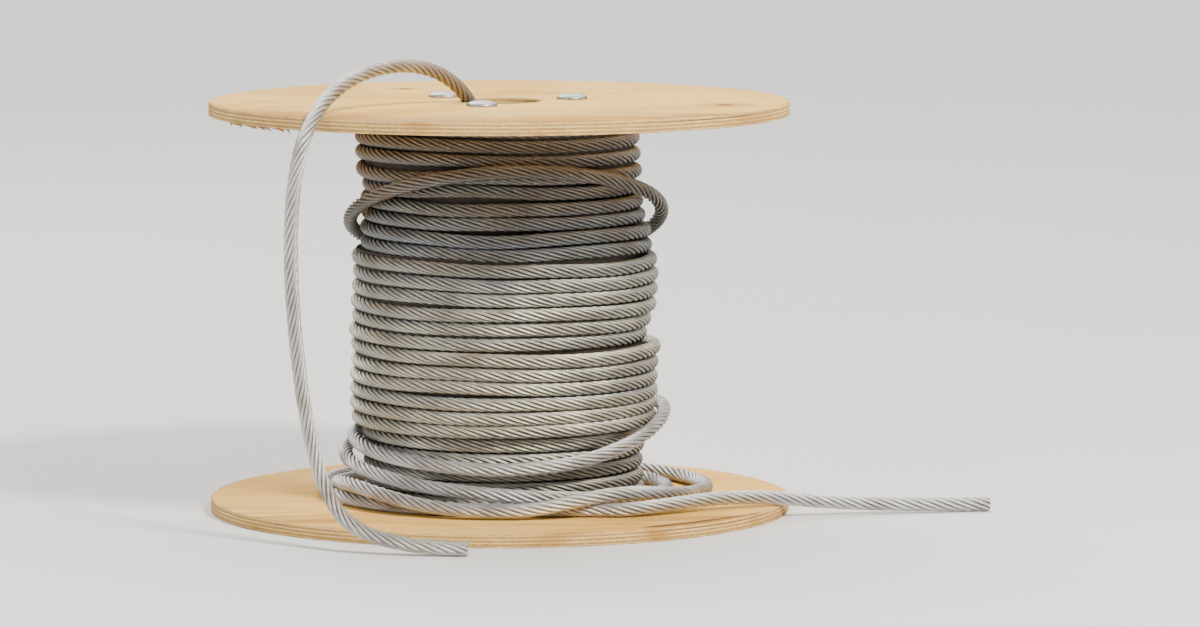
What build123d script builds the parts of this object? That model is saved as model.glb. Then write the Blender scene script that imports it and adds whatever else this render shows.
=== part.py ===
"""Plywood cable drum carrying galvanised wire rope, standing on one flange.

Two round plywood flanges clamp a hollow fibre barrel between them, with its ends in grooves
routed in the flanges. Three carriage bolts run through the barrel's hollow into hexagon nuts let
into the bottom flange. The rope is wound in 26 turns across the barrel, which ridge the winding.
Its outer end lies in slack turns round the foot of the winding, and its inner end comes through
the barrel's wall, up out of the arbor bore and hangs down outside the rims.

Millimetres. The origin is the centre of the underside, +Z is the drum's axis, and -Y faces the
viewer, with the hanging rope end at the front left.
"""

from math import radians, tan
import os

from build123d import *

os.makedirs("parts", exist_ok=True)

# Flanges
flange_diameter = 450.0
flange_thickness = 10.0
traverse = 298.0
arbor_bore_diameter = 64.0

# Barrel, a fibre tube
barrel_diameter = 150.0
barrel_wall = 7.0
barrel_seat_depth = 2.5
barrel_seat_clearance = 0.15
rope_hole_clearance = 1.5

# Tie bolts, carriage bolts with a low head and a square neck
bolt_count = 3
first_bolt_angle = 17.0
bolt_wall_gap = 4.0
bolt_diameter = 10.0
bolt_head_diameter = 24.0
bolt_head_crown_diameter = 11.0
bolt_head_height = 4.6
bolt_neck_depth = 6.0
bolt_neck_clearance = 0.15
bolt_end_recess = 1.0

# Hexagon nuts, let into the bottom flange from below
nut_across_flats = 17.0
nut_height = 5.0
nut_recess = 0.6
nut_pocket_clearance = 0.15
nut_thread_clearance = 0.05
bolt_hole_clearance = 0.5

# Rope and how it lies in the winding
rope_diameter = 11.0
rope_strands = 8
turn_gap = 0.4
turn_groove_depth = 4.0
winding_bore_clearance = 0.3
winding_end_gap = 0.3

# Zones of the winding: how many turns each takes, from the foot up, and its radius
foot_zone_turns = 5
foot_zone_radius = 110.0
full_zone_radius = 119.5
waist_zone_turns = 5
waist_zone_radius = 106.5
top_zone_turns = 4
top_zone_radius = 111.0

# Slack turns round the foot: the lower ones lie on the flange, the upper ones on top of them
slack_bore_gap = 1.5
slack_seat_gap = 0.3
lower_slack_radius = 149.5
lower_slack_shift = 16.0
upper_slack_radius = 131.5
upper_slack_shift = 7.0
upper_slack_height = 10.0

# Inner end of the rope, from its hole in the barrel's wall to its cut end on the floor
inner_end_route = [
    (-66.0, 20.0, 222.0),
    (-21.0, 18.0, 258.0),
    (-16.0, -2.0, 317.0),
    (-57.0, -54.0, 352.5),
    (-114.0, -128.0, 347.5),
    (-150.0, -221.0, 309.0),
    (-158.0, -212.0, 199.0),
    (-138.0, -225.0, 48.0),
    (-96.0, -262.0, 5.8),
    (-24.0, -267.0, 5.8),
]

# Outer end of the rope, from the slack turns over the bottom flange's rim to its cut end
outer_end_route = [
    (101.0, -131.5, 15.8),
    (184.0, -77.0, 20.5),
    (286.0, -36.0, 5.8),
    (380.0, -27.0, 5.8),
]

# Heights and radii that follow from the sizes above
foot_z = flange_thickness
head_z = foot_z + traverse
top_z = head_z + flange_thickness
flange_radius = flange_diameter / 2
arbor_bore_radius = arbor_bore_diameter / 2
barrel_radius = barrel_diameter / 2
barrel_bore_radius = barrel_radius - barrel_wall
bolt_radius = bolt_diameter / 2
rope_radius = rope_diameter / 2
bolt_circle_radius = barrel_bore_radius - bolt_wall_gap - bolt_radius
bolt_places = PolarLocations(bolt_circle_radius, bolt_count, start_angle=first_bolt_angle)
turn_count = int((traverse - 2 * winding_end_gap) / (rope_diameter + turn_gap))
turn_pitch = (traverse - 2 * winding_end_gap) / turn_count


def corner_radii(route):
    """Largest arc radius that each inner point of a rope's route has room for."""
    points = [Vector(*point) for point in route]
    runs = [end - start for start, end in zip(points, points[1:])]
    radii = []
    for before, after in zip(runs, runs[1:]):
        half_turn = radians(before.get_angle(after)) / 2
        radii.append(0.45 * min(before.length, after.length) / tan(half_turn))
    return radii


def report_tube(name, tube, section_area, centre_length, radii):
    """Print a rope tube's corner radii and compare its volume with section times length."""
    print(name, "corner radii", [round(radius) for radius in radii])
    print(name, "length", round(centre_length, 1))
    print(name, "volume over section times length", round(tube.volume / (section_area * centre_length), 4))


def flange_blank(low_z):
    """Sketch and extrude a flange's disc with its arbor bore, standing on low_z."""
    with BuildSketch(Plane.XY.offset(low_z)) as disc:
        Circle(flange_radius)
        Circle(arbor_bore_radius, mode=Mode.SUBTRACT)
    extrude(disc.sketch, amount=flange_thickness)


def barrel_groove(inner_face_z, depth):
    """Rout the groove that seats the barrel's end, from the flange's inner face."""
    with BuildSketch(Plane.XY.offset(inner_face_z)) as groove:
        Circle(barrel_radius + barrel_seat_clearance)
        Circle(barrel_bore_radius - barrel_seat_clearance, mode=Mode.SUBTRACT)
    extrude(groove.sketch, amount=depth, mode=Mode.SUBTRACT)


# Bottom flange, with a hexagonal pocket and a bolt hole for each tie bolt
with BuildPart() as flange_bottom:
    flange_blank(0)
    barrel_groove(foot_z, -barrel_seat_depth)
    with BuildSketch(Plane.XY) as nut_pockets:
        with bolt_places:
            RegularPolygon(nut_across_flats / 2 + nut_pocket_clearance, 6, major_radius=False)
    extrude(amount=nut_recess + nut_height, mode=Mode.SUBTRACT)
    with BuildSketch(Plane.XY) as bolt_holes:
        with bolt_places:
            Circle(bolt_radius + bolt_hole_clearance)
    extrude(amount=flange_thickness, mode=Mode.SUBTRACT)
flange_bottom.part.label = "flange_bottom"
export_step(flange_bottom.part, "parts/flange_bottom.step")

# Top flange, with a square hole for each bolt's neck
with BuildPart() as flange_top:
    flange_blank(head_z)
    barrel_groove(head_z, barrel_seat_depth)
    with BuildSketch(Plane.XY.offset(head_z)) as neck_holes:
        with bolt_places:
            Rectangle(bolt_diameter + 2 * bolt_neck_clearance, bolt_diameter + 2 * bolt_neck_clearance)
    extrude(amount=flange_thickness, mode=Mode.SUBTRACT)
flange_top.part.label = "flange_top"
export_step(flange_top.part, "parts/flange_top.step")

# Barrel, with the slanted hole that lets the rope's inner end through its wall
entry = Vector(*inner_end_route[0])
entry_plane = Plane(origin=entry, z_dir=Vector(*inner_end_route[1]) - entry)
with BuildPart() as barrel:
    with BuildSketch(Plane.XY.offset(foot_z - barrel_seat_depth)):
        Circle(barrel_radius)
        Circle(barrel_bore_radius, mode=Mode.SUBTRACT)
    extrude(amount=traverse + 2 * barrel_seat_depth)
    with BuildSketch(entry_plane):
        Circle(rope_radius + rope_hole_clearance)
    extrude(amount=3 * barrel_wall, both=True, mode=Mode.SUBTRACT)
barrel.part.label = "barrel"
export_step(barrel.part, "parts/barrel.step")

# Tie bolts and their nuts, a pair for each place on the bolt circle
for number, place in enumerate(bolt_places.locations, start=1):
    with BuildPart() as tie_bolt:
        with BuildSketch(Plane(place).offset(bolt_end_recess)):
            Circle(bolt_radius)
        extrude(amount=top_z - bolt_end_recess)
        with BuildSketch(Plane(place).offset(top_z)) as head_brim:
            Circle(bolt_head_diameter / 2)
        with BuildSketch(Plane(place).offset(top_z + bolt_head_height)) as head_crown:
            Circle(bolt_head_crown_diameter / 2)
        loft()
        with BuildSketch(Plane(place).offset(top_z)):
            Rectangle(bolt_diameter, bolt_diameter)
        extrude(amount=-bolt_neck_depth)
    tie_bolt.part.label = f"tie_bolt_{number}"
    export_step(tie_bolt.part, f"parts/tie_bolt_{number}.step")

    with BuildPart() as tie_nut:
        with BuildSketch(Plane(place).offset(nut_recess)):
            RegularPolygon(nut_across_flats / 2, 6, major_radius=False)
            Circle(bolt_radius + nut_thread_clearance, mode=Mode.SUBTRACT)
        extrude(amount=nut_height)
    tie_nut.part.label = f"tie_nut_{number}"
    export_step(tie_nut.part, f"parts/tie_nut_{number}.step")

# Winding: one turned solid with its bore, ridged by its turns and stepped where a zone has more
# or fewer layers
winding_bore_radius = barrel_radius + winding_bore_clearance
winding_zones = (
    (foot_zone_turns, foot_zone_radius),
    (turn_count - foot_zone_turns - waist_zone_turns - top_zone_turns, full_zone_radius),
    (waist_zone_turns, waist_zone_radius),
    (top_zone_turns, top_zone_radius),
)
turn_z = foot_z + winding_end_gap
winding_outline = [(winding_bore_radius, turn_z)]
for turns, radius in winding_zones:
    for _ in range(turns):
        winding_outline.append((radius - turn_groove_depth, turn_z))
        winding_outline.append((radius, turn_z + turn_pitch / 2))
        turn_z += turn_pitch
    winding_outline.append((radius - turn_groove_depth, turn_z))
winding_outline.append((winding_bore_radius, turn_z))
with BuildPart() as rope_winding:
    with BuildSketch(Plane.XZ):
        with BuildLine():
            Polyline(*winding_outline, close=True)
        make_face()
    revolve(axis=Axis.Z)
rope_winding.part.label = "rope_winding"
export_step(rope_winding.part, "parts/rope_winding.step")

# Slack turns: the outer shape of the coil that they make round the foot of the winding
with BuildPart() as rope_slack_turns:
    with BuildSketch(Plane.XY.offset(foot_z + slack_seat_gap)) as lower_slack:
        with Locations((lower_slack_shift, 0)):
            Circle(lower_slack_radius)
        Circle(foot_zone_radius + slack_bore_gap, mode=Mode.SUBTRACT)
    extrude(amount=rope_diameter)
    with BuildSketch(Plane.XY.offset(foot_z + slack_seat_gap + rope_diameter)) as upper_slack:
        with Locations((upper_slack_shift, 0)):
            Circle(upper_slack_radius)
        Circle(foot_zone_radius + slack_bore_gap, mode=Mode.SUBTRACT)
    extrude(amount=upper_slack_height)
rope_slack_turns.part.label = "rope_slack_turns"
export_step(rope_slack_turns.part, "parts/rope_slack_turns.step")

# Free ends of the rope: plain tubes along straight runs joined by tangent arcs, with a corner of
# their section for each strand's crown
for name, route in (("rope_inner_end", inner_end_route), ("rope_outer_end", outer_end_route)):
    radii = corner_radii(route)
    with BuildPart() as rope_end:
        with BuildLine() as centre_line:
            FilletPolyline(*route, radius=radii)
        with BuildSketch(Plane(origin=centre_line.line @ 0, z_dir=centre_line.line % 0)) as section:
            RegularPolygon(rope_radius, rope_strands)
        sweep()
    report_tube(name, rope_end.part, section.sketch.area, centre_line.wire().length, radii)
    rope_end.part.label = name
    export_step(rope_end.part, f"parts/{name}.step")
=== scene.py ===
"""Looks of a plywood cable drum that carries galvanised wire rope, standing on one flange.

The drum's flanges, barrel and nuts are the frame's own nodes, dressed here. The bolts get domed
heads, the wound rope gets its turns, and the rope's two free ends are laid strand by strand along
smooth lines. Everything is in metres, in the drum's own frame: +Z up its axis, -Y to the viewer.
"""

import logging
import math
from dataclasses import dataclass
from enum import Enum
from typing import Sequence

import bmesh
import bpy
import numpy as np
from mathutils import Matrix, Vector


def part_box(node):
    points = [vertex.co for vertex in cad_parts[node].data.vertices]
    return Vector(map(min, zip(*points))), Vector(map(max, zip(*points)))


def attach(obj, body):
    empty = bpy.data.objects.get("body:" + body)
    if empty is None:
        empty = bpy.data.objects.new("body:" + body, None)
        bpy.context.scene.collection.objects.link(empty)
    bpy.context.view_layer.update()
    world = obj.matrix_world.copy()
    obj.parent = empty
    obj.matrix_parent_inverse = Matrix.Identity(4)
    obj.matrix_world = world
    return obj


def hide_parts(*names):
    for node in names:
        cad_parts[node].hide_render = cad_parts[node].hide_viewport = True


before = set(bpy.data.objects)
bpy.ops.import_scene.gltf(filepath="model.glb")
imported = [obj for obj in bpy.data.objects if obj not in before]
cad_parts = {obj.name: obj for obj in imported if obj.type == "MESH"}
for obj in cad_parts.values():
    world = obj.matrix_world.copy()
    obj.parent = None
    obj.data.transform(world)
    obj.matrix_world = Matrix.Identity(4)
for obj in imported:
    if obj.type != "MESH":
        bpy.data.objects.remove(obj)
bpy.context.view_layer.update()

MM = 0.001
MERGE = 1e-6
log = logging.getLogger("cable_drum")

Colour = tuple[float, float, float]
Point = tuple[float, float, float]
Pair = tuple[float, float]


# Shader writing

class Signal:
    """A number that varies over a surface, so that shader maths reads as an expression."""

    def __init__(self, board: "Board", socket: bpy.types.NodeSocket) -> None:
        """Wrap an output socket of a material's node tree."""
        self.board = board
        self.socket = socket

    def _math(self, operation: str, first: object, second: object = 0.0) -> "Signal":
        """Add a Math node.

        Args:
            operation: The node's operation.
            first: Its first value, a number or a Signal.
            second: Its second value.

        Returns:
            The node's result.
        """
        made = self.board.node("ShaderNodeMath", {"operation": operation}, {0: first, 1: second})
        return Signal(self.board, made.outputs[0])

    def __add__(self, other: object) -> "Signal":
        """Add a number or another signal."""
        return self._math("ADD", self, other)

    __radd__ = __add__

    def __sub__(self, other: object) -> "Signal":
        """Take a number or another signal away."""
        return self._math("SUBTRACT", self, other)

    def __rsub__(self, other: object) -> "Signal":
        """Take this signal away from a number."""
        return self._math("SUBTRACT", other, self)

    def __mul__(self, other: object) -> "Signal":
        """Multiply by a number or another signal."""
        return self._math("MULTIPLY", self, other)

    __rmul__ = __mul__

    def __truediv__(self, other: object) -> "Signal":
        """Divide by a number or another signal."""
        return self._math("DIVIDE", self, other)

    def __pow__(self, other: object) -> "Signal":
        """Raise to a power."""
        return self._math("POWER", self, other)

    def sine(self) -> "Signal":
        """Sine of the signal in radians."""
        return self._math("SINE", self)

    def size(self) -> "Signal":
        """The signal without its sign."""
        return self._math("ABSOLUTE", self)

    def angle_from(self, across: "Signal") -> "Signal":
        """Angle of the point (across, self) about the origin, in radians."""
        return self._math("ARCTAN2", self, across)

    def larger(self, other: object) -> "Signal":
        """The larger of the two."""
        return self._math("MAXIMUM", self, other)

    def ramp(self, low: float, high: float, out_low: float = 0.0, out_high: float = 1.0) -> "Signal":
        """Rise smoothly from one value to another while the signal goes from low to high.

        Args:
            low: Where the rise starts.
            high: Where it ends; a lower value than low turns it round.
            out_low: The value at low.
            out_high: The value at high.

        Returns:
            The smooth step.
        """
        start, end = min(low, high), max(low, high)
        at_start, at_end = (out_low, out_high) if low <= high else (out_high, out_low)
        made = self.board.node(
            "ShaderNodeMapRange",
            {"interpolation_type": "SMOOTHSTEP"},
            {0: self, 1: start, 2: end, 3: at_start, 4: at_end},
        )
        return Signal(self.board, made.outputs[0])


class Board:
    """The node tree of one material, with its Principled shader."""

    def __init__(self, name: str, **uniform: float) -> None:
        """Start a material.

        Args:
            name: The material's name.
            uniform: Values that are the same all over, by the shader's socket names with _ for a space.
        """
        self.material = bpy.data.materials.new(name)
        self.material.use_nodes = True
        self.tree = self.material.node_tree
        self.tree.nodes.clear()
        self.shader = self.tree.nodes.new("ShaderNodeBsdfPrincipled")
        output = self.tree.nodes.new("ShaderNodeOutputMaterial")
        self.tree.links.new(self.shader.outputs[0], output.inputs[0])
        for key, value in uniform.items():
            self.shader.inputs[key.replace("_", " ")].default_value = value

    def node(
        self, kind: str, settings: dict[str, object], inputs: dict[object, object]
    ) -> bpy.types.Node:
        """Add one node, its settings first and its inputs after.

        Args:
            kind: The node's type.
            settings: Its properties; "stops" are a colour ramp's (place, colour) pairs.
            inputs: Values, signals or sockets by the input's index or name.

        Returns:
            The node.
        """
        made = self.tree.nodes.new(kind)
        stops = settings.get("stops")
        for key, value in settings.items():
            if key != "stops":
                setattr(made, key, value)
        if stops:
            self._set_stops(made.color_ramp, stops)
        for key, value in inputs.items():
            if isinstance(value, Signal):
                value = value.socket
            if isinstance(value, bpy.types.NodeSocket):
                self.tree.links.new(value, made.inputs[key])
            else:
                made.inputs[key].default_value = value
        return made

    @staticmethod
    def _set_stops(ramp: bpy.types.ColorRamp, stops: Sequence[tuple[float, Colour]]) -> None:
        """Give a colour ramp its stops.

        Args:
            ramp: The ramp.
            stops: Each stop's place from 0 to 1 and its colour.
        """
        while len(ramp.elements) < len(stops):
            ramp.elements.new(1.0)
        for element, (place, colour) in zip(ramp.elements, stops):
            element.position = place
            element.color = (*colour, 1.0)

    def place(self) -> bpy.types.NodeSocket:
        """Coordinates of the surface in the drum's frame."""
        return self.node("ShaderNodeTexCoord", {}, {}).outputs["Object"]

    def parts(self, vector: bpy.types.NodeSocket) -> tuple[Signal, Signal, Signal]:
        """The three numbers of a vector."""
        made = self.node("ShaderNodeSeparateXYZ", {}, {0: vector})
        return tuple(Signal(self, made.outputs[i]) for i in range(3))

    def facing(self) -> tuple[Signal, Signal, Signal]:
        """Direction that the surface faces, in the drum's frame."""
        return self.parts(self.node("ShaderNodeTexCoord", {}, {}).outputs["Normal"])

    def moved(
        self, vector: bpy.types.NodeSocket, scale: Point, shift: Point = (0, 0, 0)
    ) -> bpy.types.NodeSocket:
        """Scale and shift coordinates."""
        made = self.node("ShaderNodeMapping", {}, {0: vector, 1: shift, 3: scale})
        return made.outputs[0]

    def attribute(self, name: str) -> bpy.types.Node:
        """Read one of the piece's own attributes."""
        return self.node("ShaderNodeAttribute", {"attribute_name": name}, {})

    def noise(
        self, vector: bpy.types.NodeSocket, scale: float, detail: float = 3.0, warp: float = 0.0
    ) -> Signal:
        """Cloudy noise from 0 to 1.

        Args:
            vector: Where it is read.
            scale: Clouds for each metre of the vector.
            detail: Octaves.
            warp: Distortion.

        Returns:
            The noise.
        """
        made = self.node(
            "ShaderNodeTexNoise", {}, {"Vector": vector, "Scale": scale, "Detail": detail, "Distortion": warp}
        )
        return Signal(self, made.outputs[0])

    def mix(
        self, share: object, first: object, second: object, blend: str = "MIX"
    ) -> bpy.types.NodeSocket:
        """Mix two colours.

        Args:
            share: How much of the second, a number or a Signal.
            first: A colour or a socket.
            second: A colour or a socket.
            blend: How they mix.

        Returns:
            The mixed colour.
        """
        def full(colour: object) -> object:
            """Give a plain colour its alpha."""
            return (*colour, 1.0) if isinstance(colour, tuple) else colour

        made = self.node(
            "ShaderNodeMix",
            {"data_type": "RGBA", "blend_type": blend},
            {0: share, 6: full(first), 7: full(second)},
        )
        return made.outputs[2]

    def spot(self, x: Signal, y: Signal, centre: Pair, radii: Pair) -> Signal:
        """A soft oval spot.

        Args:
            x: First coordinate.
            y: Second coordinate.
            centre: The spot's centre, in metres.
            radii: Its half width along each coordinate.

        Returns:
            1 at the centre, falling to 0 at the edge.
        """
        across = (x - centre[0]) / radii[0]
        along = (y - centre[1]) / radii[1]
        return (across * across + along * along).ramp(1.0, 0.1)

    def finish(self, colour: object, roughness: object, metallic: object = None) -> bpy.types.Material:
        """Feed the shader and hand the material over.

        Args:
            colour: The base colour, a socket.
            roughness: A number or a Signal.
            metallic: A number or a Signal, or None to leave it at 0.

        Returns:
            The material.
        """
        for name, value in (("Base Color", colour), ("Roughness", roughness), ("Metallic", metallic)):
            if value is None:
                continue
            socket = value.socket if isinstance(value, Signal) else value
            if isinstance(socket, bpy.types.NodeSocket):
                self.tree.links.new(socket, self.shader.inputs[name])
            else:
                self.shader.inputs[name].default_value = socket
        return self.material

    def bump(self, height: Signal, strength: float, distance: float) -> None:
        """Raise the surface by a height from 0 to 1.

        Args:
            height: The relief.
            strength: How strongly it shows.
            distance: The relief's depth in metres.
        """
        made = self.node(
            "ShaderNodeBump", {}, {"Strength": strength, "Distance": distance, "Height": height}
        )
        self.tree.links.new(made.outputs[0], self.shader.inputs["Normal"])


# Finishes

@dataclass(frozen=True)
class FloorFinish:
    """Plain pale studio floor."""

    colour: Colour = (0.78, 0.77, 0.75)

    def material(self) -> bpy.types.Material:
        """Make the floor's material.

        Returns:
            The material.
        """
        board = Board("studio_floor", Specular_IOR_Level=0.2)
        cloud = board.noise(board.place(), 6.0, 4.0)
        colour = board.mix(cloud, self.colour, tuple(0.96 * part for part in self.colour))
        return board.finish(colour, 0.85)


@dataclass(frozen=True)
class Knot:
    """An oval knot in a flange's veneer, in metres."""

    x: float
    y: float
    along: float
    across: float


@dataclass(frozen=True)
class Crack:
    """A bowed split in the face veneer, in metres, its heading in degrees from +X."""

    centre: Pair
    heading: float
    half_length: float
    bow: float = 7.0 * MM
    widths: Pair = (6.5 * MM, 2.0 * MM)
    stain_reach: float = 30.0 * MM


@dataclass(frozen=True)
class PlywoodFinish:
    """Bare rotary-cut plywood: veneer grain on the faces, plies on the edges, worn arrises."""

    name: str
    low: float
    high: float
    radius: float
    bore: float
    seed: float
    knots: tuple[Knot, ...] = ()
    crack: Crack | None = None
    pale: Colour = (0.92, 0.58, 0.165)
    honey: Colour = (0.78, 0.42, 0.09)
    latewood: Colour = (0.45, 0.20, 0.045)
    grey: Colour = (0.46, 0.34, 0.20)
    glue: Colour = (0.13, 0.075, 0.035)
    stain: Colour = (0.42, 0.20, 0.04)
    plies: int = 7

    def _faces(
        self, board: Board, place: bpy.types.NodeSocket, x: Signal, y: Signal
    ) -> tuple[object, Signal]:
        """Colour and relief of the veneer faces.

        Args:
            board: The material's node tree.
            place: Coordinates in the drum's frame.
            x: Along the grain.
            y: Across the grain.

        Returns:
            The colour and the relief.
        """
        shifted = board.moved(place, (1.0, 1.0, 1.0), (self.seed, self.seed * 0.7, 0.0))
        sweep = board.noise(board.moved(shifted, (1.1, 5.0, 1.0)), 3.2, 2.0, 0.4)
        rings = ((sweep * 30.0 + y * 34.0).sine() * 0.5 + 0.5) ** 2.2
        streaks = board.noise(board.moved(shifted, (2.2, 120.0, 1.0)), 5.0, 5.0, 0.2)
        fibres = board.noise(board.moved(shifted, (14.0, 900.0, 1.0)), 3.0, 3.0)
        clouds = board.noise(shifted, 7.0, 4.0, 0.6)
        colour = board.mix(clouds.ramp(0.36, 0.68) * 0.8, self.pale, self.honey)
        colour = board.mix(rings * streaks.ramp(0.3, 0.7) * 0.42, colour, self.latewood)
        colour = board.mix(fibres.ramp(0.5, 0.8) * 0.22, colour, self.latewood)
        relief = fibres * 0.5 + streaks * 0.35 - rings * 0.25
        for knot in self.knots:
            heart = board.spot(x, y, (knot.x, knot.y), (knot.along, knot.across))
            colour = board.mix(heart * 0.9, colour, (0.15, 0.065, 0.022))
            halo = board.spot(x, y, (knot.x, knot.y), (knot.along * 3.4, knot.across * 2.2))
            colour = board.mix(halo * 0.45, colour, self.latewood)
        return colour, relief

    def _weathering(
        self, board: Board, place: bpy.types.NodeSocket, colour: object, out: Signal, y: Signal
    ) -> object:
        """Golden stains, greyed patches, specks and scuffs over the faces.

        Args:
            board: The material's node tree.
            place: Coordinates in the drum's frame.
            colour: The clean veneer's colour.
            out: Distance from the drum's axis.
            y: Coordinate towards the back.

        Returns:
            The weathered colour.
        """
        blots = board.noise(board.moved(place, (0.4, 1.3, 1.0), (self.seed + 3.1, 1.7, 0.4)), 15.0, 5.0, 0.8)
        rim = out.ramp(0.60 * self.radius, 0.99 * self.radius)
        front = y.ramp(0.03, -0.16)
        golden = blots.ramp(0.42, 0.56) * rim * front
        colour = board.mix(golden * 0.85, colour, self.stain)
        wear = board.noise(board.moved(place, (1.0, 1.0, 1.0), (9.2, self.seed, 2.0)), 5.0, 6.0, 0.5)
        colour = board.mix(wear.ramp(0.52, 0.74) * 0.45, colour, self.grey)
        specks = board.noise(place, 240.0, 2.0)
        colour = board.mix(specks.ramp(0.68, 0.76) * 0.5, colour, (0.10, 0.07, 0.05))
        scuffs = board.noise(board.moved(place, (2.0, 34.0, 1.0)), 5.0, 3.0, 0.6)
        return board.mix(scuffs.ramp(0.60, 0.72) * 0.30, colour, (0.93, 0.72, 0.40))

    def _cracked(
        self, board: Board, place: bpy.types.NodeSocket, colour: object
    ) -> tuple[object, Signal]:
        """A bowed crack near the rim with a golden stain outside it.

        Args:
            board: The material's node tree.
            place: Coordinates in the drum's frame.
            colour: The face's colour before.

        Returns:
            The colour and how open the crack is.
        """
        crack = self.crack
        turned_place = board.node(
            "ShaderNodeVectorRotate",
            {"rotation_type": "Z_AXIS"},
            {"Vector": place, "Center": (*crack.centre, 0.0), "Angle": -math.radians(crack.heading)},
        ).outputs[0]
        along, across, _ = board.parts(turned_place)
        along = (along - crack.centre[0]) / crack.half_length
        wobble = (board.noise(place, 60.0, 3.0) - 0.5) * 0.003
        across = across - crack.centre[1] + wobble + (1.0 - along * along) * crack.bow
        within = along.size().ramp(1.0, 0.75)
        width = along.ramp(-1.0, 1.0, *crack.widths)
        opened = (across.size() / width).ramp(1.0, 0.3) * within
        outer = across.ramp(-crack.stain_reach, -0.4 * crack.stain_reach)
        gold = across.ramp(-1.0 * MM, -4.0 * MM) * outer * within
        colour = board.mix(gold * 0.7, colour, (0.52, 0.23, 0.03))
        return board.mix(opened * 0.9, colour, (0.10, 0.045, 0.015)), opened

    def _edge(
        self, board: Board, place: bpy.types.NodeSocket, turn: Signal, height: Signal
    ) -> tuple[object, Signal]:
        """Colour and relief of the round edge, where the plies show.

        Args:
            board: The material's node tree.
            place: Coordinates in the drum's frame.
            turn: Angle about the drum's axis.
            height: 0 at the flange's underside, 1 at its top.

        Returns:
            The colour and the relief.
        """
        wander = (board.noise(board.moved(place, (1.0, 1.0, 6.0)), 22.0, 3.0) - 0.5) * 0.07
        level = (height + wander) * float(self.plies)
        band = (level * math.pi).sine()
        crossing = band.ramp(-0.35, 0.35)
        pores = board.noise(board.moved(place, (1.0, 1.0, 0.35)), 700.0, 3.0)
        along = board.noise(board.moved(place, (1.0, 1.0, 9.0)), 60.0, 4.0)
        end_grain = board.mix(pores.ramp(0.35, 0.7), (0.44, 0.235, 0.07), (0.64, 0.39, 0.135))
        long_grain = board.mix(along.ramp(0.3, 0.75), (0.74, 0.48, 0.175), (0.87, 0.62, 0.28))
        colour = board.mix(crossing, end_grain, long_grain)
        line = band.size().ramp(0.30, 0.02)
        gap = board.noise(board.moved(place, (1.0, 1.0, 2.0)), 34.0, 2.0).ramp(0.46, 0.66)
        colour = board.mix(line * (gap * 0.5 + 0.45), colour, self.glue)
        soot = board.noise(board.moved(place, (1.0, 1.0, 3.0)), 13.0, 5.0, 0.7).ramp(0.48, 0.74)
        colour = board.mix(soot * 0.65, colour, self.stain)
        split = ((turn * 2.0).sine() * 0.06 + 0.82 - height).size().ramp(0.055, 0.0)
        reach = turn.ramp(-1.15, -0.95) * turn.ramp(-0.45, -0.6)
        colour = board.mix(split * reach * 0.8, colour, (0.10, 0.05, 0.02))
        relief = crossing * 0.35 + pores * 0.4 - line * (gap + 0.4) * 0.8
        return colour, relief

    def material(self) -> bpy.types.Material:
        """Make the flange's material.

        Returns:
            The material.
        """
        board = Board(self.name, Specular_IOR_Level=0.06)
        place = board.place()
        x, y, z = board.parts(place)
        out = (x * x + y * y) ** 0.5
        height = (z - self.low) / (self.high - self.low)
        sideways = 1.0 - board.facing()[2].size().ramp(0.45, 0.75)
        face, face_relief = self._faces(board, place, x, y)
        face = self._weathering(board, place, face, out, y)
        if self.crack:
            face, open_crack = self._cracked(board, place, face)
            face_relief = face_relief - open_crack * 2.0
        edge, edge_relief = self._edge(board, place, y.angle_from(x), height)
        colour = board.mix(sideways, face, edge)
        ragged = board.noise(board.moved(place, (1.0, 1.0, 1.0), (2.0, self.seed, 0.0)), 90.0, 4.0)
        near_rim = out.ramp(self.radius - 0.0035, self.radius - 0.0002)
        near_bore = out.ramp(self.bore + 0.003, self.bore + 0.0003)
        brink = (height - 0.5).size().ramp(0.38, 0.5)
        worn = near_rim.larger(near_bore) * brink * ragged.ramp(0.38, 0.6)
        colour = board.mix(worn * 0.65, colour, (0.30, 0.19, 0.10))
        relief = face_relief * (1.0 - sideways) + edge_relief * sideways - worn * 0.8
        board.bump(relief, 0.55, 0.0007)
        rough = board.noise(place, 45.0, 3.0).ramp(0.2, 0.8, 0.58, 0.82)
        return board.finish(colour, rough)


@dataclass(frozen=True)
class FibreFinish:
    """Wound fibre tube: brown kraft paper with a spiral seam."""

    pitch: float = 0.11

    def material(self) -> bpy.types.Material:
        """Make the barrel's material.

        Returns:
            The material.
        """
        board = Board("barrel_fibre", Specular_IOR_Level=0.25)
        place = board.place()
        x, y, z = board.parts(place)
        turn = y.angle_from(x)
        way = z / self.pitch + turn / (2 * math.pi)
        seam = (way * math.pi).sine().size().ramp(0.05, 0.0)
        pulp = board.noise(board.moved(place, (1.0, 1.0, 3.0)), 160.0, 4.0)
        damp = board.noise(place, 11.0, 3.0)
        colour = board.mix(pulp.ramp(0.3, 0.7), (0.30, 0.19, 0.10), (0.42, 0.28, 0.16))
        colour = board.mix(damp.ramp(0.5, 0.75) * 0.5, colour, (0.20, 0.12, 0.065))
        colour = board.mix(seam * 0.7, colour, (0.12, 0.07, 0.04))
        board.bump(pulp * 0.5 - seam, 0.4, 0.0006)
        return board.finish(colour, pulp.ramp(0.2, 0.8, 0.75, 0.92))


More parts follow.
